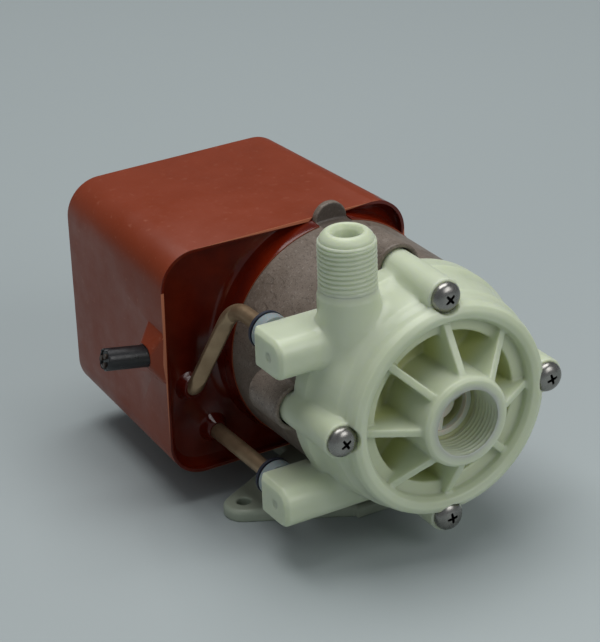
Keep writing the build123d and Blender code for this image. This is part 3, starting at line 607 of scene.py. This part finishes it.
def dress_nodes():
    """Every CAD node takes the finish of its slot, apart from the cable's wires, which are near black at the cut end,
    and the pale spider.
    """
    own = {
        # The wires of the cut end are given a near black brown.
        "cable_cores": plain_noise(
            "dark_copper", (0.02, 0.014, 0.011), (0.07, 0.045, 0.032), 500, 0.4, 0.6, 0.05, 900
        ),
        "spindle_support": plain_noise(
            "white_polypropylene", (0.72, 0.69, 0.61), (0.78, 0.75, 0.68), 90, 0.3, 0.45, 0.03, 700,
            Subsurface_Weight=0.5, Subsurface_Scale=0.004,
        ),
    }
    for subpart in frame["record"]["subparts"]:
        node = nodes[subpart["node"]]
        node.data.materials.clear()
        node.data.materials.append(own.get(subpart["node"], materials[subpart["material_slot"]]))


# Pump housing

def thread_radius(turns, root, crest):
    """Radius of a worn thread, by turns along it: broad soft crests and narrow valleys."""
    wave = 0.5 + 0.5 * math.cos(full_turn * turns)
    return crest - (crest - root) * wave ** 1.6


def near_screw(points, reach):
    """Whether points lie within reach of the line of a housing screw."""
    x, z = np.abs(points[:, 0]), np.abs(points[:, 2])
    return np.minimum(np.hypot(x - screw_circle, z), np.hypot(x, z - screw_circle)) < reach


def housing_fillets(points):
    """How far each place may fill: fully on the shoulder, the pipe root and the arms, less in the pockets."""
    x, depth, z = points.T
    radius = np.hypot(x, z)
    outside = (radius > rim_radius + rim_round - 0.6) & (depth > shoulder_depth)
    pocket = (radius > hub_radius - 0.8) & (radius < rim_radius - 2) & (depth < pocket_floor + 1)
    bore = np.hypot(x - outlet_x, depth - outlet_depth) < outlet_bore_radius + 1.5
    head_room = near_screw(points, screw_head_radius + 0.6) & (depth < screw_seat_depth + 0.4)
    back = depth > flange_depth
    share = np.where(outside, 1.0, np.where(pocket, 0.10, 0.0))
    return np.where(bore | head_room | back, 0.0, share)


def gate_mark(points):
    """1 inside the round mark on the end of each arm, and 0 away from it."""
    away = [np.hypot(points[:, 1] - depth, points[:, 2] - z) for depth, z in arm_middles]
    return 1 - smooth_step(np.minimum(*away), gate_radius * 0.7, gate_radius)


def ridge_share(points):
    """Where the shoulder carries fine arc ridges, on both sides of the top boss."""
    x, depth, z = points.T
    radius = np.hypot(x, z)
    angle = np.degrees(np.arctan2(z, x))
    band = smooth_step(radius, 42.4, 43.2) * (1 - smooth_step(radius, 46.0, 46.8))
    arc = smooth_step(angle, 35, 50) * (1 - smooth_step(angle, 112, 122))
    return band * arc * (depth > 19.5) * (depth < 30.0)


def pump_housing():
    """Housing with melted edges; its pipe top and inlet bore make room for the threads."""
    built = welded_copy("pump_housing", "front_housing")
    softened(built, housing_voxel, 3)
    fill_corners(built, 96, housing_fillets)

    def make_room(points):
        x, depth, z = points[:, 0], points[:, 1], points[:, 2]
        away = np.hypot(x - outlet_x, depth - outlet_depth)
        high = (z > thread_low) & (away < outlet_radius + 2) & (away > outlet_bore_radius - 1)
        centre = (outlet_radius + outlet_bore_radius) / 2
        room = 1 - 0.6 * smooth_step(z, thread_low + 1, thread_low + 4)
        shrink = np.where(high, (centre + (away - centre) * room) / np.maximum(away, 1e-6), 1.0)
        moved = points.copy()
        moved[:, 0] = outlet_x + (x - outlet_x) * shrink
        moved[:, 1] = outlet_depth + (depth - outlet_depth) * shrink
        moved[:, 2] = np.where(high, np.minimum(z, outlet_lead - 1.0), z)
        radius = np.hypot(x, z)
        inside = (depth > 0.4) & (depth < inlet_thread_end) & (radius < inlet_bore_radius + 1.2)
        grow = np.where(inside, (inlet_bore_radius + 1.4) / np.maximum(radius, 1e-6), 1.0)
        moved[:, 0] = np.where(inside, x * grow, moved[:, 0])
        moved[:, 2] = np.where(inside, z * grow, moved[:, 2])
        moved[:, 0] += np.where(x < arm_end_limit, gate_sink * gate_mark(points), 0.0)
        moved[:, 1] -= ridge_height * np.sin(full_turn * radius / ridge_pitch) * ridge_share(points)
        return moved

    move_points(built, make_room)
    points = get_points(built)
    x, depth, z = points.T
    radius = np.hypot(x, z)
    # Painted shade tint: the pockets behind the hub and the inlet throat are marked for the yellower shade colour of
    # pale_plastic.
    past_hub = smooth_step(radius, hub_radius - 1.0, hub_radius + 1.0)
    before_rim = 1 - smooth_step(radius, rim_radius - 4, rim_radius - 1)
    sunk = smooth_step(depth, 13.0, 22.0) * (1 - smooth_step(depth, 30.0, 34.0))
    pocket = past_hub * before_rim * sunk
    in_bore = 1 - smooth_step(radius, inlet_bore_radius, inlet_bore_radius + 1.6)
    throat = in_bore * smooth_step(depth, 2.0, 9.0)
    paint(built, "hollow_shade_tint", np.maximum(pocket, throat))
    paint(built, "mark", 0.35 * gate_mark(points) * (x < arm_end_limit))
    angle = np.degrees(np.arctan2(z, x))
    frost = smooth_step(radius, 42.5, 44.5) * smooth_step(angle, 8, 25) * (1 - smooth_step(angle, 60, 75))
    paint(built, "frost", frost * smooth_step(depth, 19.0, 21.0))
    return finish_piece(built, "pump", "pale_polypropylene", "front_housing")


def outlet_thread():
    """Male pipe thread with rounded crests that fades into the pipe, with its bead, plain lead, tip and mouth."""
    rows_per_turn = 14
    low = thread_low - 0.6
    high = outlet_lead - 1.2
    count = int((high - low) / thread_pitch * rows_per_turn)
    angles = round_angles(thread_steps)

    def ring(radii, z):
        centre = Vector((outlet_place.x, outlet_place.y, axis_start.z + z * mm))
        return [
            centre + Vector((math.cos(angle), math.sin(angle), 0)) * radius * mm
            for radius, angle in zip(radii, angles)
        ]

    def circle(radius, z):
        return ring([radius] * thread_steps, z)

    rows = [circle(outlet_bore_radius, low), circle(outlet_radius - 0.6, low)]
    for n in range(count + 1):
        z = low + (high - low) * n / count
        crest = outlet_radius - 0.06 * (1 - smooth_step(z, low, thread_low + 1.2))
        root = crest - thread_depth * smooth_step(z, thread_low + 0.5, thread_low + 5.0)
        rows.append(ring([thread_radius(z / thread_pitch - angle / full_turn, root, crest) for angle in angles], z))
    rows += [circle(radius, outlet_lead + rise) for radius, rise in outlet_lead_rises]
    rows += [circle(radius, outlet_top - drop) for radius, drop in outlet_tip_drops]
    built = grid_object("outlet_thread", rows, closed_rows=True)
    return finish_piece(built, "pump", "pale_polypropylene")


def inlet_thread():
    """Female pipe thread in the hub, narrowing a little towards the spider."""
    rows_per_turn = 12
    span = inlet_thread_end - inlet_thread_start
    count = int(span / thread_pitch * rows_per_turn)
    angles = round_angles(thread_steps)
    rows = [axis_ring([radius] * thread_steps, depth) for radius, depth in inlet_mouth]
    for n in range(count + 1):
        depth = inlet_thread_start + span * n / count
        crest = inlet_bore_radius + 0.45 - depth / 32
        root = crest - inlet_thread_depth
        rows.append(axis_ring(
            [thread_radius(depth / thread_pitch + angle / full_turn, root, crest) for angle in angles], depth
        ))
    built = grid_object("inlet_thread", rows, closed_rows=True)
    # Painted shade tint, stronger deeper in the thread.
    depths = np.clip(get_points(built)[:, 1], 0, None)
    paint(built, "hollow_shade_tint", 0.3 * smooth_step(depths, 4.0, 14.0))
    return finish_piece(built, "pump", "pale_polypropylene")


# Screws

def recess_depth(x, z):
    """Depth of a cross recess at a place across a screw head, in millimetres."""
    reach = math.hypot(x, z)
    half_width = 0.52 - 0.08 * reach
    across = min(abs(x), abs(z))
    side = min(1.0, max(0.0, (half_width + 0.10 - across) / 0.14))
    inner = min(1.0, max(0.0, (1.05 - abs(x) - abs(z)) / 0.14))
    tip = min(1.0, max(0.0, (recess_reach - reach) / 0.25))
    return recess_floor * max(side, inner) * tip * (1.0 - 0.25 * reach)


def pan_head_screw(name, x, z, turn):
    """Pan head with a cross recess, its shank, and the dome's soft edge."""
    steps = 144
    front = screw_seat_depth - screw_head_height
    fine = [0.07 * (n + 1) for n in range(36)]
    coarse = [screw_head_radius * math.sin(math.pi / 2 * n / 28) for n in range(9, 29)]
    radii = fine + [radius for radius in coarse if radius > fine[-1] + 0.02]
    rows = []
    dark = []
    for radius in radii:
        dome = screw_head_height * (0.80 - 0.80 * math.sqrt(max(0.0, 1 - (radius / screw_head_radius) ** 2.3)))
        row = []
        for angle in round_angles(steps):
            px, pz = radius * math.cos(angle), radius * math.sin(angle)
            rx = px * math.cos(turn) + pz * math.sin(turn)
            rz = -px * math.sin(turn) + pz * math.cos(turn)
            sunk = recess_depth(rx, rz)
            row.append(at(x + px, front + dome + sunk, z + pz))
            # Painted shade: the deeper the recess, the more of the steel's near black colour.
            dark.append(min(1.0, sunk / 0.5))
        rows.append(row)
    for radius, depth in (
        (screw_head_radius, screw_seat_depth),
        (screw_radius, screw_seat_depth + 0.02),
        (screw_radius, screw_seat_depth + screw_shank_length),
    ):
        rows.append(axis_ring([radius] * steps, depth, x, z))
        dark += [0.0] * steps
    built = grid_object(name, rows)
    paint(built, "recess", dark)
    return finish_piece(built, "pump", "stainless_steel")


def housing_screws():
    """The four pan heads, each turned as it was left."""
    for index, (x, z, turn) in enumerate(screw_places):
        screw = pan_head_screw(f"housing_screw_{index + 1}", x, z, turn)
        if index == 0:
            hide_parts("housing_screws")


# Motor parts

def potted_housing():
    """Potted block with narrow soft edges, painted shade in its glossy well and a painted highlight along its rim."""
    built = welded_copy("potted_housing", "motor_housing")
    bevel = built.modifiers.new("edges", "BEVEL")
    bevel.width = box_edge * mm
    bevel.segments = 2
    bevel.limit_method = "ANGLE"
    bevel.angle_limit = math.radians(35)
    bevel.harden_normals = False
    evaluated(built)
    built.data.shade_smooth()
    built.data.set_sharp_from_angle(angle=math.radians(40))
    count = len(built.data.polygons)
    centres = np.empty(count * 3)
    built.data.polygons.foreach_get("center", centres)
    x, depth, z = ((centres.reshape(-1, 3) - np.array(axis_start)) / mm).T
    half_width = (box_right - box_left) / 2
    from_side = half_width - np.abs(x - (box_left + box_right) / 2)
    from_top = box_half_height - np.abs(z)
    inset = np.minimum(from_side, from_top)
    well = (inset > box_wall * 0.75) & (depth < well_floor_depth + 0.6) & (depth > box_front_depth + 0.05)
    radius = np.hypot(x, z)
    front = depth < box_front_depth + 0.3
    rim = (inset < box_edge + 0.01) & front
    collar = (radius < collar_reach) & (depth < well_floor_depth)
    lip = (radius < ring_radius + 1.1) & (depth < collar_front_depth + 0.4)
    # Painted shade in the well, the collar and the flat front of the wall; painted highlight on the bevelled rim and,
    # weaker, the collar's lip.
    paint(built, "well", well | (collar & ~lip) | (front & ~rim & ~lip), "FACE")
    paint(built, "edge", np.where(rim, 1.0, np.where(lip, 0.3, 0.0)), "FACE")
    return finish_piece(built, "pump", "red_epoxy", "motor_housing")


def cooling_pipe():
    """Cooling tube, pressed flat along the front of its sloping run."""
    built = welded_copy("cooling_pipe", "cooling_tube")
    softened(built, tube_voxel, 2)
    top, low = np.array(slope_top), np.array(slope_low)
    run = low - top
    length = np.linalg.norm(run)
    run = run / length
    view = np.array(crease_facing)
    face = view - run * view.dot(run)
    face = face / np.linalg.norm(face)

    def crease(points):
        away = points - top
        along = away.dot(run)
        across = away - along[:, None] * run
        near = np.linalg.norm(across, axis=1) < tube_radius + 1
        out = across.dot(face)
        share = smooth_step(along, 5.0, 12.0) * (1 - smooth_step(along, length - 8.0, length - 3.0))
        flat = tube_radius - crease_sink * share
        extra = np.where(near & (out > flat), (out - flat) * 0.85, 0.0)
        return points - extra[:, None] * face

    move_points(built, crease)
    return finish_piece(built, "pump", "tan_copper_nickel", "cooling_tube")


def cable_stub():
    """Cable with a ragged cut end, a little out of round."""
    start, end = at(*cable_start), at(*cable_end)
    along = (end - start).normalized()
    side = along.cross(Vector((0, 0, 1))).normalized()
    up = side.cross(along)
    length = (end - start).length
    steps = 72
    rows = []

    def ring(radius, travel, ragged=0.0):
        """One ring, at a travel from the cut end."""
        row = []
        for angle in round_angles(steps):
            uneven = 0.06 * math.sin(2 * angle + 0.6) - 0.06
            rough = ragged * (math.sin(3 * angle + 1) + 0.6 * math.sin(7 * angle) + 0.4 * math.sin(13 * angle + 2))
            r = (radius + min(0.0, uneven) if radius > 3 else radius) * mm
            outward = (side * math.cos(angle) + up * math.sin(angle)) * r
            row.append(start + along * (length + (travel - rough) * mm) + outward)
        return row

    rows.append(ring(cable_radius, -length / mm))
    for n in range(1, 12):
        rows.append(ring(cable_radius, (-length / mm) * (1 - n / 12)))
    rows += [ring(*cut) for cut in cable_cut]
    built = grid_object("cable_stub", rows)
    return finish_piece(built, "pump", "black_cable", "power_cable")


def bracket():
    """Bracket ring with softened edges, dark inside the screw pockets and on the front of its lug."""
    built = welded_copy("bracket_ring", "motor_bracket")
    softened(built, bracket_voxel, 2)
    points = get_points(built)
    x, depth, z = points.T
    inside = (depth > bracket_front_depth + 0.5) & (depth < boss_back_depth)
    pocket = near_screw(points, boss_radius + 1.0) & inside
    on_lug = np.hypot(x - lug_x, z - lug_height) < lug_radius - 0.4
    lug_face = on_lug & (np.hypot(x, z) > ring_radius - 0.2) & (depth < lug_front_depth + 0.5)
    paint(built, "shade", np.maximum(0.85 * pocket, 0.6 * lug_face))
    return finish_piece(built, "pump", "brown_moulded_phenolic", "motor_bracket")


def foot():
    """Base with soft moulded edges."""
    built = welded_copy("foot", "base")
    softened(built, foot_voxel, 4)
    return finish_piece(built, "pump", "grey_green_plastic", "base")


# Floor and light

def add_floor():
    """Plain grey floor that turns up into a backdrop."""
    floor = new_object(
        "floor",
        [(-6, -6, 0), (6, -6, 0), (6, 3, 0), (-6, 3, 0), (-6, 3, 4), (6, 3, 4)],
        [(0, 1, 2, 3), (3, 2, 5, 4)],
        smooth=False,
    )
    s = Shader("studio_floor", Roughness=0.55)
    s.colour(s.ramp(s.noise(1.2, detail=1.0), (0.3, (0.37, 0.415, 0.42)), (0.7, (0.41, 0.455, 0.46))))
    floor.data.materials.append(s.material)


def area_light(name, place, target, size, power):
    """A square lamp that faces its target."""
    data = bpy.data.lights.new(name, "AREA")
    data.shape = "SQUARE"
    data.size = size
    data.energy = power
    light = bpy.data.objects.new(name, data)
    bpy.context.scene.collection.objects.link(light)
    light.location = place
    light.rotation_mode = "QUATERNION"
    light.rotation_quaternion = (Vector(target) - Vector(place)).to_track_quat("-Z", "Y")


def add_light():
    """Pale world, a soft lamp above, and a weaker one at the front right."""
    world = bpy.data.worlds.new("studio")
    bpy.context.scene.world = world
    world.use_nodes = True
    world.node_tree.nodes["Background"].inputs["Color"].default_value = (0.86, 0.91, 0.95, 1)
    world.node_tree.nodes["Background"].inputs["Strength"].default_value = 0.27
    centre = (0, 0, 0.06)
    area_light("top_soft", (0.05, 0.20, 1.5), centre, 1.3, 18)
    area_light("front_right_soft", (0.55, -1.4, 1.0), centre, 0.9, 7)


bpy.context.scene.view_settings.view_transform = "Standard"
add_camera()
dress_nodes()
pump_housing()
outlet_thread()
inlet_thread()
housing_screws()
potted_housing()
cooling_pipe()
cable_stub()
bracket()
foot()
add_floor()
add_light()
